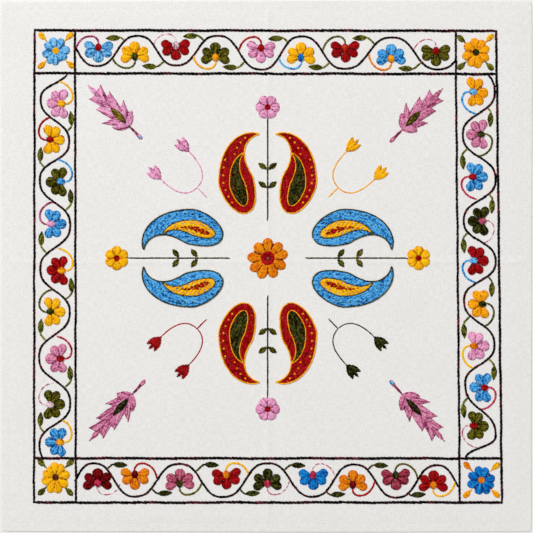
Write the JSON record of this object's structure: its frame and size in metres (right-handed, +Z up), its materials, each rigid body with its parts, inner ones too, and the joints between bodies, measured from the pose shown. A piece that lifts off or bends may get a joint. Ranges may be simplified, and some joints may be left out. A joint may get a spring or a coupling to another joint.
{
  "type": "embroidered chamba rumal",
  "caption": "Square white cotton cloth with a narrow hem, a vine border and silk embroidery of flowers, paisleys and sprigs, laid flat.",
  "frame": {"origin": "middle of the underside, on the surface that the cloth lies on", "axes": "+X to the right of the cloth and +Y to its top edge, as it is seen from above, +Z up out of the embroidered face"},
  "size_m": [0.4578, 0.4578, 0.0019],
  "materials": {
    "cloth": "fine plain-woven white cotton, matte, with faint slubs and ironed-in folds",
    "silk": "untwisted silk floss in many colours, with a soft sheen along the stitches"
  },
  "bodies": {
    "root": {"cloth": "cloth"}
  },
  "joints": []
}
